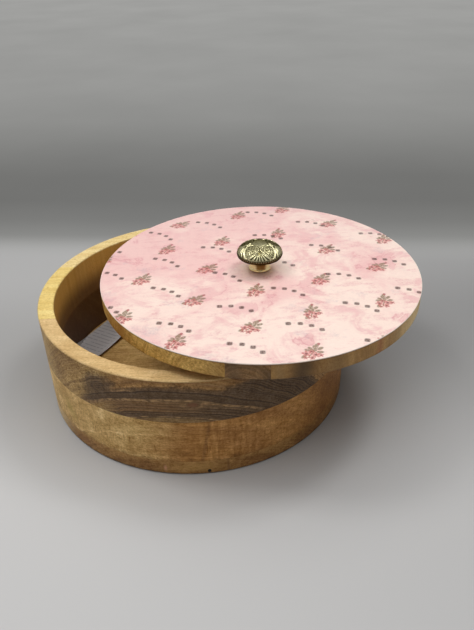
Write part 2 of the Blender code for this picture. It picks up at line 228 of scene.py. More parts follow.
class Nodes:
    """Builds the nodes of one material or of the world."""

    def __init__(self, tree):
        self.tree = tree
        tree.nodes.clear()

    def node(self, kind, settings, sockets):
        """Any node: its settings are set first, then its sockets by name or by index."""
        made = self.tree.nodes.new(kind)
        for key, setting in settings.items():
            if key == "stops":
                self.set_stops(made.color_ramp, setting)
            else:
                setattr(made, key, setting)
        for key, value in sockets.items():
            self.feed(made.inputs[key], value)
        return made

    def feed(self, socket, value):
        if isinstance(value, Number):
            value = value.socket
        if isinstance(value, bpy.types.NodeSocket):
            self.tree.links.new(value, socket)
        else:
            socket.default_value = value[:3] if socket.type == "VECTOR" else value

    def set_stops(self, ramp, stops):
        while len(ramp.elements) < len(stops):
            ramp.elements.new(0.5)
        for element, (position, colour) in zip(ramp.elements, stops):
            element.position = position
            element.color = colour

    def number(self, kind, settings, sockets, output=0):
        return Number(self, self.node(kind, settings, sockets).outputs[output])

    def maths(self, operation, *values):
        sockets = dict(enumerate(values))
        return self.number("ShaderNodeMath", {"operation": operation}, sockets)

    def place(self):
        """The point on the surface, in millimetres of the model's frame."""
        coordinates = self.node("ShaderNodeTexCoord", {}, {})
        return self.scaled(coordinates.outputs["Object"], 1 / MM)

    def scaled(self, vector, factor):
        sockets = {0: vector, "Scale": factor}
        return self.node("ShaderNodeVectorMath", {"operation": "SCALE"}, sockets).outputs[0]

    def stretched(self, vector, factors):
        sockets = {0: vector, 1: factors}
        return self.node("ShaderNodeVectorMath", {"operation": "MULTIPLY"}, sockets).outputs[0]

    def moved(self, vector, offset):
        sockets = {0: vector, 1: offset}
        return self.node("ShaderNodeVectorMath", {"operation": "ADD"}, sockets).outputs[0]

    def split(self, vector):
        parts = self.node("ShaderNodeSeparateXYZ", {}, {0: vector})
        return [Number(self, output) for output in parts.outputs]

    def joined(self, x, y, z=0):
        return self.node("ShaderNodeCombineXYZ", {}, {0: x, 1: y, 2: z}).outputs[0]

    def noise(self, where, pitch, detail=2, roughness=0.5, distortion=0):
        """Soft noise around 0.5 whose blotches are about one pitch across."""
        sockets = {"Vector": where, "Scale": 1 / pitch, "Detail": detail, "Roughness": roughness}
        sockets["Distortion"] = distortion
        return self.number("ShaderNodeTexNoise", {}, sockets)

    def lines(self, across, pitch, detail=1, roughness=0.5):
        """Uneven parallel bands across a number."""
        sockets = {"W": across, "Scale": 1 / pitch, "Detail": detail, "Roughness": roughness}
        return self.number("ShaderNodeTexNoise", {"noise_dimensions": "1D"}, sockets)

    def greater(self, first, *others):
        """The greatest of some numbers."""
        for other in others:
            first = self.maths("MAXIMUM", first, other)
        return first

    def power(self, value, exponent):
        return self.maths("POWER", value, exponent)

    def distance(self, x, y):
        return self.power(x * x + y * y, 0.5)

    def mix(self, share, first, second, blend="MIX"):
        """Blend two colours. The Mix node's colour sockets are its seventh and eighth."""
        settings = {"data_type": "RGBA", "blend_type": blend, "clamp_factor": True}
        return self.node("ShaderNodeMix", settings, {0: share, 6: first, 7: second}).outputs[2]

    def painted(self, colour, *coats):
        """Lay coats, each a share and a colour, over one another."""
        for share, coat in coats:
            colour = self.mix(share, colour, coat)
        return colour

    def shade(self, colour, factor):
        """The colour made darker or lighter by a factor that may vary."""
        return self.scaled(colour, factor)

    def aged(self, colour, factor):
        """Oiled wood made darker and browner, or lighter and paler, by a factor."""
        factor = self.greater(factor, 0.05)
        return self.stretched(colour, self.joined(factor, self.power(factor, 1.3), self.power(factor, 2)))

    def seen(self):
        """1 where the eye looks straight at a surface or sees it mirrored, 0 for its light on others."""
        ray = self.node("ShaderNodeLightPath", {}, {}).outputs
        return self.greater(ray["Is Camera Ray"], ray["Is Glossy Ray"], ray["Is Transmission Ray"])


class Finish(Nodes):
    """A Principled material built node by node."""

    def __init__(self, name, roughness=0.5, metallic=0, gleam=0.5, edge_tint=(1, 1, 1, 1)):
        self.material = bpy.data.materials.new(name)
        self.material.use_nodes = True
        super().__init__(self.material.node_tree)
        sockets = {"Roughness": roughness, "Metallic": metallic, "Specular IOR Level": gleam}
        sockets["Specular Tint"] = edge_tint
        self.shader = self.node("ShaderNodeBsdfPrincipled", {}, sockets)
        self.node("ShaderNodeOutputMaterial", {}, {"Surface": self.shader.outputs[0]})

    def finish(self, colour, roughness=None, height=None, depth=0.1, strength=0.5):
        """Feed the shader. Height is 0 to 1 over a depth in millimetres."""
        self.feed(self.shader.inputs["Base Color"], colour)
        if roughness is not None:
            self.feed(self.shader.inputs["Roughness"], roughness)
        if height is not None:
            sockets = {"Height": height, "Distance": depth * MM, "Strength": strength}
            bump = self.node("ShaderNodeBump", {}, sockets)
            self.feed(self.shader.inputs["Normal"], bump.outputs[0])
        return self.material


# Noise is drawn out along the fibres by these factors
FIBRES_ALONG_X = (0.07, 1, 1)
FIBRES_ALONG_Y = (1, 0.07, 1)
PORES = 2.4


class Plank(Finish):
    """The figure of one board: growth layers, fibres, pores and blotches."""

    def __init__(self, name, layers, seed, wander=5, fibres=FIBRES_ALONG_X):
        super().__init__(name, gleam=0.28)
        place = self.place()
        self.x, self.y, self.z = self.split(place)
        self.off_axis = self.distance(self.x, self.y)
        start = (seed * 37, seed * 61, seed * 89)
        self.wood = self.moved(place, start)
        self.long = self.stretched(self.wood, fibres)
        # From here to the wave, all sway round 0
        self.fibres = self.noise(self.long, 0.55, detail=3, roughness=0.6) - 0.5
        self.streaks = self.noise(self.long, 1.5, detail=2, roughness=0.55) - 0.5
        self.mottle = self.noise(self.wood, 6, detail=4, roughness=0.6) - 0.5
        self.speckle = self.noise(self.wood, 1.5, detail=2, roughness=0.7) - 0.5
        self.wave = self.noise(self.long, 14, detail=2) - 0.5
        ripple = self.noise(self.long, 3.2, detail=1) - 0.5
        straight = self.x * layers[0] + self.y * layers[1] + self.z * layers[2]
        self.layer = straight + (self.wave + ripple * 0.16) * wander
        self.blotches = self.noise(self.wood, 32, detail=3, roughness=0.55)
        # Pores are shorter than the fibres they run between
        short = self.stretched(self.wood, [share * PORES if share < 1 else share for share in fibres])
        self.pores = self.noise(short, 0.6, detail=1).step(0.62, 0.71)
        self.flecks = self.noise(short, 1.1, detail=2, roughness=0.6).step(0.57, 0.68)

    def ground(self, pale, deep, bands=9, fine=1.7, contrast=1.0):
        """The board's own colour, between its pale and its deep tone."""
        broad = self.lines(self.layer, bands, detail=2)
        share = (broad * 0.55 + self.blotches * 0.45).step(0.33, 0.66)
        colour = self.mix(share, pale, deep)
        rings = self.lines(self.layer, fine)
        figure = (rings - 0.5) * 0.6 + self.fibres * 0.7 - self.flecks * 0.16
        figure = figure + (self.streaks + self.mottle) * 0.8 + self.speckle * 0.7
        return self.aged(colour, 1 + figure * contrast)

    def crumbly(self, colour, darkest, spread, pitch=1.7, roughness=0.7):
        """Fine crumbs of darker wood all over."""
        crumbs = self.noise(self.wood, pitch, detail=3, roughness=roughness)
        return self.aged(colour, crumbs * spread + darkest)

    def oiled(self, colour, gloss=0.52):
        """Darken the pores, then feed the shader with colour, roughness and bump."""
        pored = self.aged(colour, 1 - self.pores * 0.36)
        roughness = gloss + self.fibres * 0.25 + self.pores * 0.15
        height = self.fibres * 0.45 - self.pores * 0.8
        return self.finish(pored, roughness, height, depth=0.12, strength=0.45)


def bore_tint(plank, colour, share=0.75):
    """The bore's wall is browner than the outside, with painted shade that deepens down the bore and on its
    left side.
    """
    inside = plank.off_axis.step(BORE + 1, BORE + 0.2)
    around = plank.maths("ARCTAN2", plank.y, plank.x) * BORE
    streaks = plank.lines(around, 4.5, detail=3)
    shallow = plank.mix(streaks, rgb(236, 180, 93), rgb(208, 144, 58))
    deep = plank.mix(streaks, rgb(126, 76, 33), rgb(98, 57, 22))
    # Painted shade: darker from near the rim down into the bore
    brown = plank.mix(plank.z.step(78, 56), shallow, deep)
    # More painted shade low in the bore and on its left side
    painted_shade_below = 1 - plank.z.step(54, 48) * 0.5
    painted_shade_left = 1 - plank.x.step(-86, -106) * 0.22
    brown = plank.shade(brown, painted_shade_below * painted_shade_left)
    below_rim = plank.z.step(RIM - 0.4, RIM - 1.6)
    return plank.mix(inside * below_rim * share, colour, brown)


def dark_plank():
    """Front plank of the upper ring: a dark heart arched round a light line and a knot."""
    plank = Plank("dark ring plank", (0.172, 1, 0.89), seed=1, wander=6)
    x, z, layer = plank.x, plank.z, plank.layer
    tan = plank.ground(rgb(230, 198, 144), rgb(210, 174, 118), bands=8, contrast=0.35)
    tan = plank.crumbly(tan, 0.71, 0.46)
    brown = plank.ground(rgb(198, 160, 98), rgb(142, 106, 60), bands=5, fine=1.3, contrast=1.2)
    strip = plank.ground(rgb(184, 138, 80), rgb(124, 87, 48), bands=2.4, fine=1)
    veins = plank.lines(layer, 1.3, detail=3, roughness=0.7)
    heart = plank.mix(veins.step(0.32, 0.68), rgb(63, 47, 33), rgb(116, 90, 62))
    grain = plank.fibres * 0.9 + plank.mottle * 1.2 + plank.speckle * 0.8
    heart = plank.aged(heart, 1 + grain)
    wedge = plank.mix(veins.step(0.36, 0.62), rgb(100, 72, 46), rgb(150, 112, 68))
    wedge = plank.aged(wedge, 1 + plank.streaks * 0.9 + plank.speckle * 0.8)

    right = x.step(8, 60)
    ragged = plank.mottle * 9 + plank.speckle * 4
    inset = layer - right * 26 + 55.5 + ragged
    band = inset.step(3, -2.4) * (x + ragged * 1.5).step(-92, -78)
    from_blob = x + 71
    blob = plank.distance(from_blob / 14.5, (z - 71.5 - from_blob * 0.35) / 12.5) + plank.wave * 1.1
    blob_rings = plank.lines(blob * 10, 2.2)
    blot = (blob + ragged * 0.07).step(1.25, 0.65) * x.step(-50, -60)
    above = inset.step(14, 5) * x.step(-84, -62)
    under_line = layer.step(-65, -67) * layer.step(-77, -73)
    foot = layer.step(-79.6, -81.4) * x.step(14, 4)
    left_foot = layer.step(-65, -68) * x.step(-56, -78)

    light = rgb(186, 146, 98)
    broken = (plank.streaks + plank.mottle).step(-0.14, 0.14) * 0.8 + 0.15
    main_line = layer.hump(-65, 1.6) * x.step(50, 30)
    beside = layer.hump(-67.8, 0.8) * x.hump(14, 34) * 0.6
    second_line = layer.hump(-57.6, 0.9) * x.hump(-56, 13)
    strip_line = layer.hump(-51.5, 1.6) * x.hump(12, 26) * 0.6
    foot_line = layer.hump(-79.4, 0.8) * x.step(36, 16)
    marks = plank.greater(main_line, second_line, foot_line, beside, strip_line)
    eye = plank.distance((x + 6.4) * 0.5, z - 67.5 + plank.wave * 1.5) + ragged * 0.12
    sanded = z.step(RIM - 1.5, RIM - 0.5)
    inside = plank.off_axis.step(BORE + 3, BORE + 1)
    colour = plank.painted(
        brown,
        (above, strip),
        (plank.greater(band, blot * (0.5 + blob_rings * 0.8)) * 0.95, heart),
        (under_line * x.step(16, -34) * 0.9, wedge),
        (foot * 0.5, brown),
        (left_foot * 0.85, brown),
        (marks * broken, light),
        (eye.hump(3.3, 1.6) * broken * 0.35, light),
        (eye.step(2.6, 0.8) * 0.6, rgb(124, 76, 50)),
        (x.step(-102, -122) * 0.4, rgb(204, 176, 128)),
        (plank.greater(sanded, inside), tan),
    )
    return plank.oiled(bore_tint(plank, colour))


def pale_plank(name, seed, pale, deep, layers=(0.05, 1, 0.35)):
    """Straw-yellow planks of the upper ring, with fine lines along the rim."""
    plank = Plank(name, layers, seed, wander=3)
    colour = plank.ground(pale, deep, bands=7, fine=1.2, contrast=0.28)
    colour = plank.crumbly(colour, 0.76, 0.42)
    return plank.oiled(bore_tint(plank, colour, share=0.92))


def lower_front_plank():
    """Golden and cloudy on the left, turning red-brown with upright ripples on the right, with painted
    shade at the right end.
    """
    plank = Plank("lower ring plank", (0.10, 0.8, 1), seed=3, wander=14)
    x, z = plank.x, plank.z
    golden = plank.ground(rgb(236, 198, 130), rgb(206, 164, 98), bands=22, fine=3.4, contrast=0.85)
    russet = plank.ground(rgb(198, 144, 78), rgb(166, 114, 58), bands=12, fine=3, contrast=0.85)
    slant = x - (z - 32) * 0.17
    colour = plank.mix((slant + plank.wave * 22).step(-56, -6), golden, russet)
    clouds = plank.noise(plank.wood, 15, detail=4, roughness=0.6)
    colour = plank.aged(colour, 1 + (clouds - 0.5) * 0.8)
    upright = plank.stretched(plank.wood, (1, 1, 0.11))
    ripple = plank.noise(upright, 2.6, detail=2, roughness=0.6) - 0.5
    colour = plank.aged(colour, 1 + ripple * (0.3 + x.hump(20, 42) * 0.9))
    strokes = plank.noise(upright, 1.5, detail=1).step(0.64, 0.72)
    colour = plank.aged(colour, 1 - strokes * z.hump(28, 14) * 0.35 - x.hump(-8, 24) * 0.2)
    olive = (x + plank.wave * 8).hump(-100, 6) * z.hump(30, 15)
    worn = (z + plank.mottle * 16).step(LOWER_LOW.z / MM + 4, LOWER_LOW.z / MM - 3)
    colour = plank.painted(
        colour,
        (olive * 0.45, rgb(176, 152, 62)),
        (slant.hump(1.4, 2.2) * 0.35, rgb(96, 60, 30)),
        (worn * 0.55, rgb(124, 84, 42)),
    )
    # Painted shade on the right end, under the lid's overhang
    colour = plank.aged(colour, 1 - x.step(55, 108) * 0.34)
    return plank.oiled(bore_tint(plank, colour, share=0.9))


def lower_plank(name, seed):
    plank = Plank(name, (0.10, 0.8, 0.6), seed, wander=7)
    colour = plank.ground(rgb(200, 156, 96), rgb(160, 112, 62), bands=8)
    return plank.oiled(bore_tint(plank, colour, share=0.9))


def base_plank(name, seed, pale, deep):
    """Base boards: darker and worn round the outside edge, plain golden on the floor inside."""
    plank = Plank(name, (0.08, 1, 0.9), seed, wander=6)
    x, z = plank.x, plank.z
    edge = plank.ground(pale, deep, bands=12, fine=2.6)
    floor = plank.ground(rgb(213, 175, 110), rgb(185, 145, 85), bands=14, fine=3, contrast=0.75)
    rim = plank.off_axis.step(BORE - 0.5, BORE + 0.5)
    front = plank.y.step(-80, -100)
    upper_edge = (z + plank.mottle * 16).step(BASE_HIGH.z / MM - 5, BASE_HIGH.z / MM + 2)
    patch = (x + plank.wave * 8).hump(-6, 26) * z.hump(7.5, 6)
    rusty = plank.distance((x + 95) / 9, (z - 7) / 4) + plank.wave * 1.5
    scrape = x.hump(-29.5, 2) * z.hump(6, 4.5)
    # Darker towards the bottom edge of the base
    darker_at_bottom = (z + plank.mottle * 6).step(2.6, 0)
    nick = plank.distance((x - NICK_X) * 1.25, z - NICK_Z)
    colour = plank.painted(
        floor,
        (rim, edge),
        (upper_edge * rim * 0.5, rgb(204, 158, 92)),
        (patch * front * 0.55, rgb(200, 158, 90)),
        (rusty.step(1.1, 0.5) * front * 0.5, rgb(150, 84, 50)),
        # Painted light: the left end of the outside edge made paler
        (x.step(-96, -120) * rim * 0.8, rgb(240, 210, 156)),
    )
    # Painted shade on the right of the front, under the lid's overhang
    colour = plank.aged(colour, 1 - x.step(45, 105) * plank.y.step(20, -20) * 0.32)
    colour = plank.painted(
        colour,
        (scrape * front * 0.7, rgb(226, 168, 132)),
        (x.hump(16.8, 1.8) * front * 0.5, rgb(92, 54, 28)),
        (darker_at_bottom * 0.7, rgb(66, 46, 34)),
        (nick.step(2.2, 1.3) * front, rgb(34, 24, 18)),
    )
    return plank.oiled(colour)


def lid_plank(side, seed, pale, deep, pith, stains, bands=4.2, contrast=0.9):
    """Lid boards show growth rings round their pith at the front and back edge.

    Stains are (middle, half width, share, colour) along X.
    """
    plank = Plank(f"lid wood {side}", (0, 0, 0), seed, wander=2.2, fibres=FIBRES_ALONG_Y)
    radius = plank.distance(plank.x - pith[0], (plank.z - pith[1]) * 0.8)
    plank.layer = plank.layer + radius
    colour = plank.ground(pale, deep, bands=bands, fine=1.5, contrast=contrast)
    for middle, half_width, share, stain in stains:
        patch = (plank.x + plank.wave * 5).hump(middle, half_width) * share
        colour = plank.mix(patch * plank.y.step(60, -60), colour, stain)
    colour = plank.crumbly(colour, 0.80, 0.40, pitch=2.4, roughness=0.65)
    foot_line = (plank.z + plank.mottle * 4).step(BOARD_LOW.z / MM + 2.2, BOARD_LOW.z / MM)
    colour = plank.mix(foot_line * 0.35, colour, rgb(84, 58, 34))
    return plank.oiled(colour)


def disc_wood():
    """The plain locating disc under the lid, with its turning marks."""
    plank = Plank("locating disc wood", (1, 0, 0.3), seed=14, fibres=FIBRES_ALONG_Y)
    colour = plank.ground(rgb(214, 174, 120), rgb(186, 142, 90))
    from_middle = plank.distance(plank.x - LID_CENTRE.x / MM, plank.y - LID_CENTRE.y / MM)
    marks = plank.lines(from_middle, 0.9)
    colour = plank.shade(colour, 0.94 + marks * 0.12)
    return plank.oiled(colour, gloss=0.6)


class Lattice:
    """Repeats a motif in staggered rows, each copy shifted and turned a little."""

    def __init__(self, finish, x, y, width, height, tilt, shift, turn, seed):
        cos, sin = math.cos(math.radians(tilt)), math.sin(math.radians(tilt))
        along = (x * cos + y * sin) / width + seed * 0.37
        up = (y * cos - x * sin) / height + seed * 0.61
        row = finish.maths("FLOOR", up)
        odd = finish.maths("FLOORED_MODULO", row, 2)
        along = along + odd * 0.5
        column = finish.maths("FLOOR", along)
        cell = finish.joined(column, row, seed)
        chance = finish.node("ShaderNodeTexWhiteNoise", {"noise_dimensions": "3D"}, {"Vector": cell})
        random = finish.split(chance.outputs["Color"])
        self.finish = finish
        across = (along - column - 0.5) * width + (random[0] - 0.5) * shift
        rise = (up - row - 0.5) * height + (random[1] - 0.5) * shift
        angle = (random[2] - 0.5) * math.radians(turn) * 2
        cosine = finish.maths("COSINE", angle)
        sine = finish.maths("SINE", angle)
        self.x = across * cosine + rise * sine
        self.y = rise * cosine - across * sine

    def turned(self, x, y, angle):
        """Distances from a point, along and across a line turned by an angle in degrees."""
        cos, sin = math.cos(math.radians(angle)), math.sin(math.radians(angle))
        from_x, from_y = self.x - x, self.y - y
        return from_x * cos + from_y * sin, from_y * cos - from_x * sin

    def oval(self, x, y, long, wide, angle, soft=0.25):
        """1 inside an oval of these half lengths."""
        along, across = self.turned(x, y, angle)
        return self.finish.distance(along / long, across / wide).step(1, 1 - soft)

    def tile(self, x, y, half, angle):
        """1 inside a small square with soft, rounded corners."""
        along, across = self.turned(x, y, angle)
        square = self.finish.greater(abs(along), abs(across))
        corners = (square * 0.6 + self.finish.distance(along, across) * 0.4) / half
        return corners.step(1.25, 0.70)

    def blossom(self, x, y, radius, petals=5):
        """The shares of petals round a centre and of the centre's own disc."""
        finish = self.finish
        from_x, from_y = self.x - x, self.y - y
        reach = finish.distance(from_x, from_y)
        angle = finish.maths("ARCTAN2", from_y, from_x)
        outline = finish.maths("COSINE", angle * petals) * (0.2 * radius) + 0.8 * radius
        petal = (outline - reach).step(0, 0.5)
        eye = reach.step(0.34 * radius, 0.2 * radius)
        return petal, eye


# Each leaf's place and angle, each blossom's place and radius, and each dot's place and half width
LEAVES = (
    (4.4, 5.6, 66), (7.4, 3, 14), (-6.3, -1.4, 205), (1.2, 4.9, 105),
    (6.6, 6.9, 40), (3, 2.4, 20), (5.6, -0.6, -24), (-1, 4, 140),
)
BLOSSOMS = (
    (-3.6, 0.9, 3.6), (1.7, -2.2, 3.5), (-1.9, -4.6, 2.9), (0.5, 1.9, 2.6), (4.6, -3.9, 2.4), (-5.9, -3, 2),
)
DOTS = ((-12, -1.6, 2), (-4, 1, 1.9), (4, 1, 1.9), (12, -1.6, 1.9))


def printed_top():
    """Pink watercolour ground with blossoms, leaves and rows of small grey dots."""
    finish = Finish("printed top")
    x, y, z = finish.split(finish.moved(finish.place(), tuple(-LID_CENTRE / MM)))
    flat = finish.joined(x, y)
    wash = finish.noise(flat, 58, detail=4, roughness=0.55, distortion=0.6)
    cloud = finish.noise(finish.moved(flat, (210, 40, 0)), 30, detail=5, roughness=0.62, distortion=0.8)
    pigment = finish.noise(flat, 3.2, detail=4, roughness=0.7)
    towards_back = (y - x * 0.6) * 0.0012
    share = (wash + towards_back).step(0.36, 0.62)
    colour = finish.mix(share, rgb(255, 229, 215), rgb(246, 202, 195))
    brushed = finish.stretched(finish.moved(flat, (120, 530, 0)), (0.55, 1.3, 1))
    smears = finish.noise(brushed, 12, detail=4, roughness=0.7).step(0.49, 0.66)
    salt = finish.noise(flat, 1.5, detail=2, roughness=0.7).step(0.44, 0.62)
    grey_wash = finish.noise(finish.moved(flat, (70, 310, 0)), 34, detail=5, roughness=0.68)
    colour = finish.painted(
        colour,
        (cloud.step(0.50, 0.66) * 0.62, rgb(236, 178, 178)),
        (smears * (0.22 + salt * 0.38), rgb(226, 160, 162)),
        (grey_wash.step(0.55, 0.70) * (0.3 + salt * 0.3), rgb(204, 180, 184)),
        (cloud.hump(0.60, 0.016) * wash.step(0.47, 0.58) * 0.55, rgb(218, 136, 142)),
    )
    grain = finish.noise(flat, 1.3, detail=2, roughness=0.7)
    colour = finish.shade(colour, 0.91 + pigment * 0.14 + (grain - 0.5) * 0.12)

    bleed = finish.noise(flat, 1.3, detail=3, roughness=0.7).step(0.36, 0.60)
    sprig = Lattice(finish, x, y, 52, 45, 14, shift=8, turn=24, seed=2)
    leaves = sprig.oval(1.3, 0.9, 8.6, 0.6, 38)
    for leaf_x, leaf_y, angle in LEAVES:
        leaves = finish.greater(leaves, sprig.oval(leaf_x, leaf_y, 3.2, 1.8, angle, soft=0.5))
    colour = finish.mix(leaves * (0.5 + bleed * 0.42), colour, rgb(126, 104, 66))
    for flower_x, flower_y, radius in BLOSSOMS:
        petal, eye = sprig.blossom(flower_x, flower_y, radius)
        petal_coat = (petal * (0.42 + bleed * 0.46), rgb(200, 104, 100))
        colour = finish.painted(colour, petal_coat, (eye * 0.8, rgb(124, 54, 50)))
    bud = sprig.oval(8.6, 7.9, 1.6, 1.2, 50)

    dots = Lattice(finish, x, y, 56, 40, -32, shift=5, turn=12, seed=5)
    row = finish.greater(*(dots.tile(*dot, 20) for dot in DOTS))
    edge = finish.distance(x, y).step(LID_RADIUS / MM - 0.35, LID_RADIUS / MM - 0.15)
    core = finish.mix(z.step(PRINT - 0.5, PRINT - 0.8), rgb(252, 236, 220), rgb(168, 122, 82))
    colour = finish.painted(
        colour,
        (bud * 0.8, rgb(178, 84, 84)),
        (row * (0.62 + bleed * 0.34), rgb(84, 54, 40)),
        (edge, core),
    )
    smear = finish.noise(flat, 24, detail=3)
    return finish.finish(colour, 0.24 + smear * 0.12, pigment, depth=0.02, strength=0.25)


def polished_brass():
    """Bright gold on the foot's bead. The waist has a painted reflection, brown in front and pale on both
    sides, and painted shade where the foot meets the lid.
    """
    finish = Finish("polished brass", metallic=1)
    place = finish.place()
    x, y, z = finish.split(finish.moved(place, tuple(-LID_CENTRE / MM)))
    smear = finish.noise(place, 3, detail=3)
    tarnish = finish.noise(place, 1.1, detail=4, roughness=0.65).step(0.56, 0.72)
    waist = z.step(PRINT + 1.7, PRINT + 3)
    colour = finish.mix(waist, rgb(250, 226, 168), rgb(246, 242, 186))
    colour = finish.shade(colour, 1 - smear * 0.12)
    # Painted reflection: the waist is browner where it faces front and back, pale at the sides
    between = (abs(x) + (smear - 0.5) * 2).step(5.2, 2.6)
    colour = finish.mix(waist * (0.06 + between * 0.90), colour, rgb(126, 98, 46))
    # Painted contact shade at the foot, laid together with real tarnish spots
    painted_contact_shade = z.step(PRINT + 1.1, PRINT + 0.4)
    colour = finish.mix(finish.greater(painted_contact_shade * 0.7, tarnish * 0.25), colour, rgb(120, 72, 30))
    return finish.finish(colour, 0.14 + smear * 0.08 + tarnish * 0.12, smear, depth=0.02, strength=0.2)


def antique_brass():
    """Pale green-gold on the raised ornament, dark olive in the hollows, and a painted dark reflection
    round the lower edge.
    """
    finish = Finish("antique brass", metallic=1, edge_tint=(0.12, 0.08, 0.05, 1))
    place = finish.place()
    z = finish.split(place)[2]
    relief = finish.number("ShaderNodeAttribute", {"attribute_name": "relief"}, {}, output=2)
    patina = finish.noise(place, 1.6, detail=4, roughness=0.65)
    raised = finish.mix(patina, rgb(252, 246, 204), rgb(228, 218, 166))
    hollow = finish.mix(patina, rgb(92, 86, 52), rgb(54, 48, 27))
    share = (relief + (patina - 0.5) * 0.5).step(0.18, 0.74)
    colour = finish.mix(share, hollow, raised)
    # Painted dark reflection round the cap's lower edge
    edge = z.step(CAP_FOOT + 3.6, CAP_FOOT + 0.4)
    colour = finish.mix(edge * 0.75, colour, rgb(58, 40, 16))
    grain = finish.noise(place, 0.35, detail=2)
    return finish.finish(colour, 0.38 - share * 0.20, grain, depth=0.03, strength=0.3)


def zinc_steel():
    finish = Finish("zinc plated steel", metallic=1)
    place = finish.place()
    spangle = finish.noise(place, 1.2, detail=3)
    colour = finish.mix(spangle, rgb(200, 202, 206), rgb(160, 160, 158))
    return finish.finish(colour, 0.28 + spangle * 0.14, spangle, depth=0.02, strength=0.2)


def label_paper():
    """Matt paper ruled with plain faint lines across its width."""
    finish = Finish("label paper", roughness=0.7)
    place = finish.place()
    turned = finish.node(
        "ShaderNodeMapping", {}, {"Vector": place, "Rotation": (0, 0, -LABEL_BEARING)}
    ).outputs[0]
    across, along, _ = finish.split(turned)
    fibre = finish.noise(place, 0.9, detail=3)
    colour = finish.mix(fibre, rgb(204, 200, 199), rgb(183, 179, 178))
    position = finish.maths("FLOORED_MODULO", along, RULE_PITCH)
    rule = position.hump(RULE_PITCH / 2, 0.9)
    dashes = finish.noise(finish.joined(across, along - position), 3, detail=1)
    margin = across.step(84, 86) * dashes.step(0.36, 0.46)
    ink = rule * margin * (0.35 + fibre * 0.4)
    colour = finish.mix(ink, colour, rgb(104, 102, 112))
    return finish.finish(colour, None, fibre, depth=0.03, strength=0.3)


def deselect():
    bpy.ops.object.select_all(action="DESELECT")


def choose(piece):
    """Select one piece alone and make it active."""
    deselect()
    piece.select_set(True)
    bpy.context.view_layer.objects.active = piece


def edit():
    """Enter edit mode with the whole mesh selected."""
    bpy.ops.object.mode_set(mode="EDIT")
    bpy.ops.mesh.select_mode(type="VERT")
    bpy.ops.mesh.select_all(action="SELECT")


def leave():
    bpy.ops.object.mode_set(mode="OBJECT")


def settle():
    """Put the active piece's place, turn and scale into its mesh."""
    bpy.ops.object.transform_apply(location=True, rotation=True, scale=True)


def name_piece(name):
    """Name the primitive that was just added."""
    piece = bpy.context.object
    piece.name = name
    piece.data.name = name
    return piece


def close_piece(piece, material, body, nodes, smooth_angle=32):
    """Finish a piece: place in its mesh, smooth shading, material and its body."""
    settle()
    bpy.ops.object.shade_smooth_by_angle(angle=math.radians(smooth_angle))
    piece.data.materials.clear()
    piece.data.materials.append(material)
    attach(piece, body)
    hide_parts(*nodes)
    deselect()
    return piece


def corner(point, before, after, radius, steps=4):
    """Points of an arc that rounds one corner of a profile, or a chamfer in one step."""
    point = Vector(point)
    start = (Vector(before) - point).normalized() * radius
    end = (Vector(after) - point).normalized() * radius
    if steps == 1:
        return [tuple(point + start), tuple(point + end)]
    centre = point + start + end
    arc = []
    for step in range(steps + 1):
        angle = math.pi / 2 * step / steps
        arc.append(tuple(centre - end * math.cos(angle) - start * math.sin(angle)))
    return arc


def section(inner, outer, low, high, roundings):
    """Closed half section of a ring. Roundings are (radius, steps) for its four corners:
    outer low, outer high, inner high and inner low."""
    points = [(outer, low), (outer, high), (inner, high), (inner, low)]
    profile = []
    for index, point in enumerate(points):
        radius, steps = roundings[index]
        if radius:
            profile += corner(point, points[index - 1], points[(index + 1) % 4], radius, steps)
        else:
            profile.append(point)
    return profile


def turn_profile(name, profile, centre=BOX_CENTRE, steps=TURNING_STEPS, closed=True):
    """Extrude a vertex along a profile of (radius, height) points and spin it round Z."""
    first = centre + ALONG_X * profile[0][0] + UP * profile[0][1]
    bpy.ops.mesh.primitive_plane_add(size=0.01, location=first)
    piece = name_piece(name)
    settle()
    edit()
    bpy.ops.mesh.merge(type="CENTER")
    bpy.ops.mesh.select_all(action="SELECT")
    path = profile + profile[:1] if closed else profile
    for here, there in zip(path, path[1:]):
        move = (there[0] - here[0], 0, there[1] - here[1])
        bpy.ops.mesh.extrude_vertices_move(TRANSFORM_OT_translate={"value": move})
    bpy.ops.mesh.select_all(action="SELECT")
    bpy.ops.mesh.remove_doubles(threshold=1e-6)
    bpy.ops.mesh.spin(steps=steps, angle=math.tau, center=centre, axis=UP)
    bpy.ops.mesh.select_all(action="SELECT")
    bpy.ops.mesh.remove_doubles(threshold=1e-6)
    bpy.ops.mesh.normals_make_consistent(inside=False)
    leave()
    return piece


def copy_piece(source, name):
    """A copy with its own mesh, selected and active."""
    piece = source.copy()
    piece.data = source.data.copy()
    piece.name = name
    piece.data.name = name
    bpy.context.collection.objects.link(piece)
    choose(piece)
    return piece


def remove_piece(piece):
    bpy.data.objects.remove(piece, do_unlink=True)


def saw(across, low, high):
    """Saw the active piece to one plank: keep what lies between two glue joints."""
    edit()
    for limit, direction in ((low, -1), (high, 1)):
        if limit is None:
            continue
        bpy.ops.mesh.select_all(action="SELECT")
        bpy.ops.mesh.bisect(
            plane_co=across * (limit - direction * PLANK_GAP / 2),
            plane_no=across * direction,
            use_fill=True,
            clear_outer=True,
        )
    leave()


def keep_half(piece, side):
    """Drop the arc on the other side of the axis."""
    edit()
    shape = bmesh.from_edit_mesh(piece.data)
    for point in shape.verts:
        point.select_set(point.co.x * side < 0)
    shape.select_flush_mode()
    bmesh.update_edit_mesh(piece.data)
    bpy.ops.mesh.delete(type="VERT")
    leave()


def carve(piece, size):
    """Cut a piece with the primitive that was just added, once that has its size."""
    tool = bpy.context.object
    tool.scale = size
    settle()
    choose(piece)
    cut = piece.modifiers.new("cut", "BOOLEAN")
    cut.operation = "DIFFERENCE"
    cut.solver = "EXACT"
    cut.object = tool
    bpy.ops.object.modifier_apply(modifier="cut")
    remove_piece(tool)


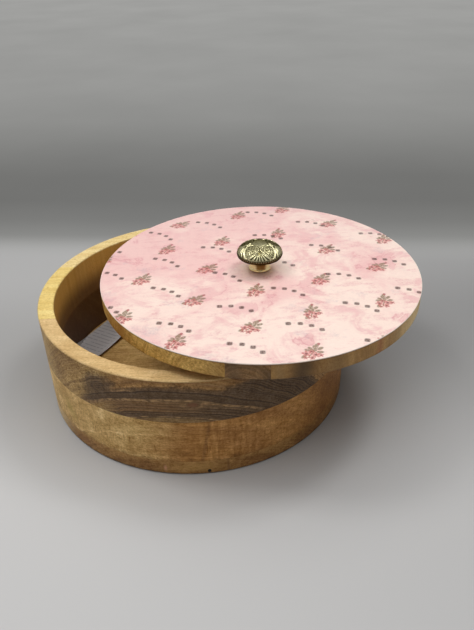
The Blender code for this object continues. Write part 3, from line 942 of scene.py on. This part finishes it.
def make_base():
    profile = [(0, BASE_LOW.z)]
    profile += corner((BOX_RADIUS, BASE_LOW.z), (0, BASE_LOW.z), (BOX_RADIUS, BASE_HIGH.z), FOOT_ROUNDING)
    step_level = BASE_HIGH.z + RING_REACH
    profile += [(BOX_RADIUS, step_level), (BORE_RADIUS, step_level)]
    profile += [(BORE_RADIUS, BASE_HIGH.z), (0, BASE_HIGH.z)]
    whole = turn_profile("base whole", profile, closed=False)
    planks = (
        ("front", None, BASE_JOINTS[0], 4, rgb(182, 136, 76), rgb(142, 98, 50)),
        ("middle", *BASE_JOINTS, 5, rgb(220, 180, 118), rgb(184, 140, 84)),
        ("back", BASE_JOINTS[1], None, 6, rgb(186, 142, 86), rgb(146, 104, 58)),
    )
    for side, low, high, seed, pale, deep in planks:
        piece = copy_piece(whole, f"base_{side}")
        saw(ALONG_Y, low, high)
        if side == "front":
            place = (NICK_X * MM, -BOX_RADIUS, NICK_Z * MM)
            bpy.ops.mesh.primitive_ico_sphere_add(subdivisions=3, radius=MM, location=place)
            carve(piece, (1.3, 0.8, 1.7))
        wood = base_plank(f"base wood {side}", seed, pale, deep)
        close_piece(piece, wood, "box", [f"base_board_{side}"])
    remove_piece(whole)


def make_ring(name, profile, joints, slots, woods):
    """Turn a ring and saw it into its front, left, right and back arcs."""
    whole = turn_profile(f"{name} whole", profile)
    arcs = (
        ("front", None, joints[0], 0),
        ("left", *joints, -1),
        ("right", *joints, 1),
        ("back", joints[1], None, 0),
    )
    for (side, low, high, half), slot, wood in zip(arcs, slots, woods):
        piece = copy_piece(whole, f"{name}_arc_{side}")
        saw(ALONG_Y, low, high)
        if half:
            keep_half(piece, half)
        close_piece(piece, wood, "box", [f"{name}_{side}"])
    remove_piece(whole)


def make_rings():
    lower = section(
        BORE_RADIUS, BOX_RADIUS, LOWER_LOW.z - RING_REACH, LOWER_HIGH.z + RING_REACH,
        (SHARP, (RING_CHAMFER, 1), SHARP, SHARP),
    )
    woods = [lower_front_plank()]
    for seed, side in enumerate(("left", "right", "back"), start=7):
        woods.append(lower_plank(f"lower ring wood {side}", seed))
    make_ring("lower_ring", lower, LOWER_JOINTS, ["lower_ring_wood"] * 4, woods)

    upper = section(
        BORE_RADIUS, BOX_RADIUS, UPPER_LOW.z - RING_REACH, UPPER_HIGH.z,
        (SHARP, (RIM_ROUNDING, 5), (RIM_ROUNDING, 5), SHARP),
    )
    woods = [
        dark_plank(),
        pale_plank("rim wood left", 10, rgb(242, 218, 144), rgb(227, 195, 114)),
        pale_plank("rim wood right", 11, rgb(232, 200, 126), rgb(208, 166, 92)),
        pale_plank("rim wood back", 12, rgb(240, 216, 156), rgb(228, 198, 134)),
    ]
    make_ring("upper_ring", upper, UPPER_JOINTS, ["dark_ring_wood"] + ["pale_ring_wood"] * 3, woods)


def place_on_label(point):
    """Lay a point of the flat grid on the floor, curled at the free edge and at the wall."""
    outward = Vector((math.cos(LABEL_BEARING), math.sin(LABEL_BEARING), 0))
    sideways = Vector((outward.y, -outward.x, 0))
    across = (point.y + 0.5) * LABEL_WIDTH
    along = point.x * LABEL_LENGTH
    flat = outward * (LABEL_EDGE_DISTANCE + across) + sideways * (along + LABEL_SLIDE)
    height = BASE_HIGH.z + LABEL_GAP
    if across < LABEL_CURL_WIDTH:
        sag = 1 + 0.25 * math.sin(along / LABEL_LENGTH * 7)
        height += LABEL_CURL * sag * (1 - across / LABEL_CURL_WIDTH) ** 2
    reach = BORE_RADIUS - LABEL_WALL_GAP
    over = flat.length - reach
    if over > 0:
        flat = flat.normalized() * reach
        height += over
    return flat + UP * height


def make_label():
    bpy.ops.mesh.primitive_grid_add(x_subdivisions=56, y_subdivisions=40, size=1, location=(0, 0, 0))
    piece = name_piece("floor_label")
    edit()
    shape = bmesh.from_edit_mesh(piece.data)
    for point in shape.verts:
        point.co = place_on_label(point.co)
    bmesh.update_edit_mesh(piece.data)
    leave()
    sheet = piece.modifiers.new("paper", "SOLIDIFY")
    sheet.thickness = LABEL_THICKNESS
    sheet.offset = 1
    bpy.ops.object.modifier_apply(modifier="paper")
    close_piece(piece, label_paper(), "box", ["paper_label"], smooth_angle=60)


def make_lid():
    board = section(
        SCREW_HOLE, LID_RADIUS, BOARD_LOW.z, BOARD_HIGH.z,
        ((LID_ROUNDING, 4), (BOARD_CHAMFER, 1), SHARP, SHARP),
    )
    whole = turn_profile("lid whole", board, LID_CENTRE)
    left_stains = ((12, 12, 0.45, rgb(150, 112, 62)), (-56, 14, 0.5, rgb(160, 100, 42)))
    middle_stains = ((21, 9, 0.4, rgb(92, 72, 52)),)
    right_stains = (
        (51, 6, 0.6, rgb(156, 124, 80)),
        (66, 14, 0.85, rgb(80, 60, 38)),
        (90, 16, 0.55, rgb(122, 92, 56)),
        (122, 5, 0.6, rgb(160, 88, 52)),
        (158, 30, 0.9, rgb(240, 208, 150)),
    )
    left = lid_plank("left", 21, rgb(224, 180, 98), rgb(190, 142, 66), (2, 88), left_stains)
    middle = lid_plank("middle", 22, rgb(150, 112, 68), rgb(98, 72, 44), (28, 84), middle_stains)
    right = lid_plank(
        "right", 23, rgb(196, 152, 90), rgb(156, 114, 62), (58, 90), right_stains, bands=12, contrast=0.4
    )
    planks = (
        ("left", None, LID_JOINTS[0], left),
        ("middle", *LID_JOINTS, middle),
        ("right", LID_JOINTS[1], None, right),
    )
    for side, low, high, wood in planks:
        piece = copy_piece(whole, f"lid_plank_{side}")
        saw(ALONG_X, low, high)
        close_piece(piece, wood, "lid", [f"lid_board_{side}"])
    remove_piece(whole)

    disc = section(
        HEAD_RECESS, DISC_RADIUS, DISC_LOW.z, DISC_HIGH.z,
        ((DISC_CHAMFER, 1), SHARP, SHARP, (RECESS_CHAMFER, 1)),
    )
    piece = turn_profile("lid_locating_disc", disc, LID_CENTRE)
    close_piece(piece, disc_wood(), "lid", ["locating_disc"])

    sheet = section(
        SCREW_HOLE, LID_RADIUS, SHEET_LOW.z, SHEET_HIGH.z, (SHARP, (SHEET_ROUNDING, 3), SHARP, SHARP)
    )
    piece = turn_profile("lid_print", sheet, LID_CENTRE)
    close_piece(piece, printed_top(), "lid", ["print_sheet"])


def arc(centre, radii, start, end, steps):
    """Points on an elliptic arc, from start to end in degrees."""
    points = []
    for step in range(steps + 1):
        angle = math.radians(start + (end - start) * step / steps)
        radius = centre[0] + radii[0] * math.cos(angle)
        points.append((max(radius, 0), centre[1] + radii[1] * math.sin(angle)))
    return points


def make_stem():
    foot_rounding = STEM_FOOT_HEIGHT / 2
    waist = STEM_FOOT - foot_rounding / 2 - STEM_NECK
    neck_level = SHEET_HIGH.z + STEM_NECK_HEIGHT
    flange = CAP_RADIUS - CAP_LIP_WIDTH - CAP_PLAY
    head = CAP_RADIUS - CAP_SHEET - CAP_PLAY
    head_rise = CAP_RISE - CAP_SHEET - CAP_PLAY
    flange_foot = CAP_LIP_LEVEL + CAP_SHEET + CAP_PLAY
    profile = [(SCREW_HOLE, STEM_FLOOR)]
    foot = (STEM_FOOT - foot_rounding, STEM_FLOOR + foot_rounding)
    profile += arc(foot, (foot_rounding, foot_rounding), -90, 60, 12)
    neck_radii = (waist, STEM_NECK_HEIGHT - STEM_FOOT_HEIGHT)
    profile += arc((STEM_NECK + waist, neck_level), neck_radii, 240, 180, 12)
    profile += arc((flange, neck_level), (flange - STEM_NECK, CAP_LIP_LEVEL - neck_level), 170, 90, 14)
    profile += [(flange, flange_foot), (head, flange_foot)]
    profile += arc((0, CAP_LEVEL), (head, head_rise), 0, 82, 8)
    profile += [(SCREW_HOLE, CAP_LEVEL + head_rise * 0.9)]
    piece = turn_profile("knob_neck", profile, LID_CENTRE, STEM_STEPS)
    close_piece(piece, polished_brass(), "lid", ["knob_stem"], smooth_angle=40)


def bump(value, middle, half_width):
    """A rounded ridge: 1 at the middle and 0 at half_width either side."""
    share = min(1, abs(value - middle) / half_width)
    return (1 - share * share) ** 2


def punch_marks(x, y):
    """Depth, 0 to 1, of round marks punched by eye into a field, about one per square of the pitch."""
    depth = 0
    x, y = x / PUNCH_PITCH, y / PUNCH_PITCH
    column, row = math.floor(x), math.floor(y)
    for i in (column - 1, column, column + 1):
        for j in (row - 1, row, row + 1):
            chance = math.sin(i * 12.99 + j * 78.23) * 437.58
            away_x = x - i - 0.5 - 0.3 * math.sin(chance * 7)
            away_y = y - j - 0.5 - 0.3 * math.cos(chance * 5)
            depth = max(depth, bump(math.hypot(away_x, away_y) * PUNCH_PITCH, 0, PUNCH_RADIUS))
    return depth


def cap_relief(turn, climb):
    """Height of the ornament, 0 to 1, at a turn round the axis and a climb from rim to top.

    Five egg-shaped lobes, narrow end down, with raised borders and a punched ground, a fan of
    rays between each two, a row of flutes at the rim and a plain disc on top.
    """
    if climb > DISC_CLIMB:
        return DISC_HEIGHT
    pitch = math.tau / LOBES
    count = (turn - CAP_TURN) / pitch + 0.5
    across = count % 1 - 0.5
    girth = CAP_RADIUS * math.cos(climb * math.pi / 2) * pitch
    below = max(0, LOBE_CLIMB - climb) / LOBE_DROP
    rise = (climb - LOBE_CLIMB) / LOBE_RISE if climb > LOBE_CLIMB else below
    half_width = LOBE_SPREAD * max(0.12, 1 - LOBE_TAPER * below)
    lobe = math.hypot(across / half_width, rise)
    height = 0.03
    if climb > FAN_APEX:
        height += GROUND_HEIGHT * min(1, max(0, lobe - 1.06) * 6)
    if lobe < GROUND_REACH:
        # Each lobe has marks of its own
        along = across * girth + math.floor(count) * 40 * MM
        height = GROUND_HEIGHT * (1 - punch_marks(along, climb * CAP_SLOPE_LENGTH))
    border = 0.95 - 5 * max(0, climb - 0.70)
    border *= bump(lobe, BORDER_REACH, 0.10)
    height = max(height, border, 0.55 * bump(climb, DISC_CLIMB, 0.016))

    between = (0.5 - abs(across)) * girth
    drop = (FAN_APEX - climb) * CAP_SLOPE_LENGTH
    if drop > 0 and lobe > 1.05 and climb > FAN_FOOT:
        ray = math.cos(math.atan2(between, drop) * RAYS) ** 2
        height = max(height, ray * min(1, math.hypot(between, drop) / RAY_START))
    if climb < 2 * FLUTE_CLIMB:
        flute = abs(math.sin(turn * LOBES * FLUTES))
        height = 0.7 * flute * bump(climb, FLUTE_CLIMB, 0.06)
    return max(height, 0.6 * bump(climb, RING_CLIMB, 0.018))


def make_cap():
    """The pressed shell: ornament pushed out of a dome, closed below by a turned-in lip."""
    inside = CAP_RADIUS - CAP_SHEET
    inside_rise = CAP_RISE - CAP_SHEET
    lip_inner = CAP_RADIUS - CAP_LIP_WIDTH
    middle = (0, CAP_LEVEL)
    profile = arc(middle, (CAP_RADIUS, CAP_RISE), 90, 0, CAP_RINGS)
    profile += arc((inside, CAP_LEVEL), (CAP_SHEET, CAP_LEVEL - CAP_LIP_LEVEL), -18, -90, 5)
    lip_top = CAP_LIP_LEVEL + CAP_SHEET
    profile += [(lip_inner, CAP_LIP_LEVEL), (lip_inner, lip_top), (inside, lip_top)]
    profile += arc(middle, (inside, inside_rise), 0, 90, 8)
    piece = turn_profile("knob_shell", profile, LID_CENTRE, CAP_STEPS, closed=False)
    centre = LID_CENTRE + UP * CAP_LEVEL
    relief = piece.data.attributes.new("relief", "FLOAT", "POINT")
    for point, store in zip(piece.data.vertices, relief.data):
        spot = point.co - centre
        radius = math.hypot(spot.x, spot.y) / CAP_RADIUS
        level = spot.z / CAP_RISE
        if level < -1e-4 or math.hypot(radius, level) < 1 - CAP_SHEET / CAP_RADIUS / 2:
            store.value = 0.2
            continue
        climb = 1 - math.atan2(radius, level) / (math.pi / 2)
        height = cap_relief(math.atan2(spot.y, spot.x), climb)
        store.value = height
        outward = Vector((spot.x / CAP_RADIUS ** 2, spot.y / CAP_RADIUS ** 2, spot.z / CAP_RISE ** 2))
        point.co += outward.normalized() * height * RELIEF
    close_piece(piece, antique_brass(), "lid", ["knob_cap"], smooth_angle=60)


def make_screw():
    rounding = (WASHER_LOW.z - SCREW_LOW.z) / 2
    tip = SHANK_RADIUS / 2
    profile = [(0, SCREW_HIGH.z), (tip, SCREW_HIGH.z), (SHANK_RADIUS, SCREW_HIGH.z - tip)]
    profile += [(SHANK_RADIUS, WASHER_LOW.z), (HEAD_RADIUS, WASHER_LOW.z)]
    profile += arc((HEAD_RADIUS - rounding, SCREW_LOW.z + rounding), (rounding, rounding), 0, -90, 8)
    profile.append((0, SCREW_LOW.z))
    piece = turn_profile("lid_screw", profile, LID_CENTRE, SCREW_STEPS, closed=False)
    steel = zinc_steel()
    for length, width in ((SLOT_LENGTH, SLOT_WIDTH), (SLOT_WIDTH, SLOT_LENGTH)):
        bpy.ops.mesh.primitive_cube_add(size=1, location=LID_CENTRE + UP * SCREW_LOW.z)
        carve(piece, (length, width, 2 * SLOT_DEPTH))
    close_piece(piece, steel, "lid", ["fixing_screw"])

    washer = section(
        SCREW_HOLE, WASHER_RADIUS, WASHER_LOW.z, WASHER_HIGH.z,
        ((WASHER_ROUNDING, 2), SHARP, SHARP, SHARP),
    )
    piece = turn_profile("lid_washer", washer, LID_CENTRE, SCREW_STEPS)
    close_piece(piece, steel, "lid", ["screw_washer"])


# The photograph's camera, fitted to the outlines of the rim, the lid and the base
PICTURE_WIDTH = 474
PICTURE_HEIGHT = 630
FOCAL_PIXELS = 612.2
SENSOR = 36
CAMERA_PLACE = Vector((0, -0.4453, 0.3437))
CAMERA_YAW = math.radians(4.54)
CAMERA_PITCH = math.radians(32.80)
CAMERA_ROLL = math.radians(-1.20)


def make_camera():
    camera = bpy.data.cameras.new("camera")
    camera.sensor_width = SENSOR
    camera.lens = FOCAL_PIXELS / max(PICTURE_WIDTH, PICTURE_HEIGHT) * SENSOR
    camera.clip_start = 0.01
    holder = bpy.data.objects.new("camera", camera)
    bpy.context.collection.objects.link(holder)
    turn = Matrix.Rotation(-CAMERA_YAW, 4, "Z")
    tilt = Matrix.Rotation(math.pi / 2 - CAMERA_PITCH, 4, "X")
    roll = Matrix.Rotation(CAMERA_ROLL, 4, "Z")
    holder.matrix_world = Matrix.Translation(CAMERA_PLACE) @ turn @ tilt @ roll
    bpy.context.scene.camera = holder


FLOOR_SIZE = 12
FLOOR_LEVEL = -0.2 * MM
BACKDROP_TURN = math.radians(7.8)
# Painted light and shade of the glowing backdrop behind the box, as (metres from the box's axis, display
# value)
BACKDROP_GREYS = (
    (0.21, 176), (0.28, 138), (0.33, 124), (0.40, 116), (0.50, 117),
    (0.63, 128), (0.83, 143), (1.20, 153), (2.70, 160),
)


def make_backdrop():
    """A large floor with painted shade. Behind the box it passes into a soft grey that glows by itself
    as painted light and shade, and far out on all sides into the pale colour of the surroundings."""
    bpy.ops.mesh.primitive_plane_add(size=FLOOR_SIZE, location=(0, 0, FLOOR_LEVEL))
    piece = name_piece("floor")
    settle()
    finish = Finish("floor paper", roughness=0.8, gleam=0)
    x, y, _ = finish.split(finish.place())
    back = y * math.cos(BACKDROP_TURN) + x * math.sin(BACKDROP_TURN)
    mottle = finish.noise(finish.place(), 300, detail=3)
    # Painted shade on the floor: darker from in front of the box to behind it, a little lighter again
    # further back, and darker towards the right
    shade_behind = y.step(-150, 45) * 0.37 - y.step(60, 200) * 0.10
    floor = finish.shade(rgb(202, 201, 200), 1 - shade_behind - x.step(-150, 250) * 0.14)
    reach = BACKDROP_GREYS[-1][0]
    stops = [(place / reach, rgb(grey, grey, grey - 2)) for place, grey in BACKDROP_GREYS]
    share = back * (MM / reach)
    glow = finish.node("ShaderNodeValToRGB", {"stops": stops}, {0: share}).outputs[0]
    glow = finish.shade(glow, 0.9 + mottle * 0.2)
    sheet = back.step(205, 285) * abs(x - 270).step(2300, 1500)
    far = finish.distance(x, y).step(700, 2400) * (1 - sheet)
    seen = finish.seen()
    glow = finish.mix(far * seen, finish.shade(glow, sheet * seen), rgb(178, 179, 180))
    finish.feed(finish.shader.inputs["Emission Strength"], 1)
    finish.feed(finish.shader.inputs["Emission Color"], glow)
    piece.data.materials.append(finish.finish(finish.shade(floor, 1 - (sheet + far) * seen)))
    deselect()


def make_lamp(name, place, target, size, power):
    lamp = bpy.data.lights.new(name, "AREA")
    lamp.shape = "RECTANGLE"
    lamp.size, lamp.size_y = size
    lamp.energy = power
    holder = bpy.data.objects.new(name, lamp)
    bpy.context.collection.objects.link(holder)
    holder.location = place
    holder.rotation_euler = (Vector(target) - Vector(place)).to_track_quat("-Z", "Y").to_euler()


def make_light():
    """One large soft lamp, and a window to each side that shows as a glint in the metal."""
    make_lamp("overhead", (-0.02, 0.02, 1.50), (0, -0.03, 0), (2.3, 1.7), 15.4)
    make_lamp("left window", (-0.62, 0.20, 1.25), (0, 0, 0.05), (0.3, 0.42), 3.8)
    make_lamp("right window", (0.62, 0.20, 1.25), (0, 0, 0.05), (0.26, 0.36), 3.4)
    world = bpy.data.worlds.new("studio")
    world.use_nodes = True
    room = Nodes(world.node_tree)
    strength = room.seen() * 0.26 + 0.31
    sockets = {"Color": (0.80, 0.81, 0.82, 1), "Strength": strength}
    background = room.node("ShaderNodeBackground", {}, sockets)
    room.node("ShaderNodeOutputWorld", {}, {"Surface": background.outputs[0]})
    bpy.context.scene.world = world


deselect()
make_camera()
make_base()
make_rings()
make_label()
make_lid()
make_stem()
make_cap()
make_screw()
make_backdrop()
make_light()
bpy.context.scene.view_settings.view_transform = "Standard"

bpy.context.view_layer.update()
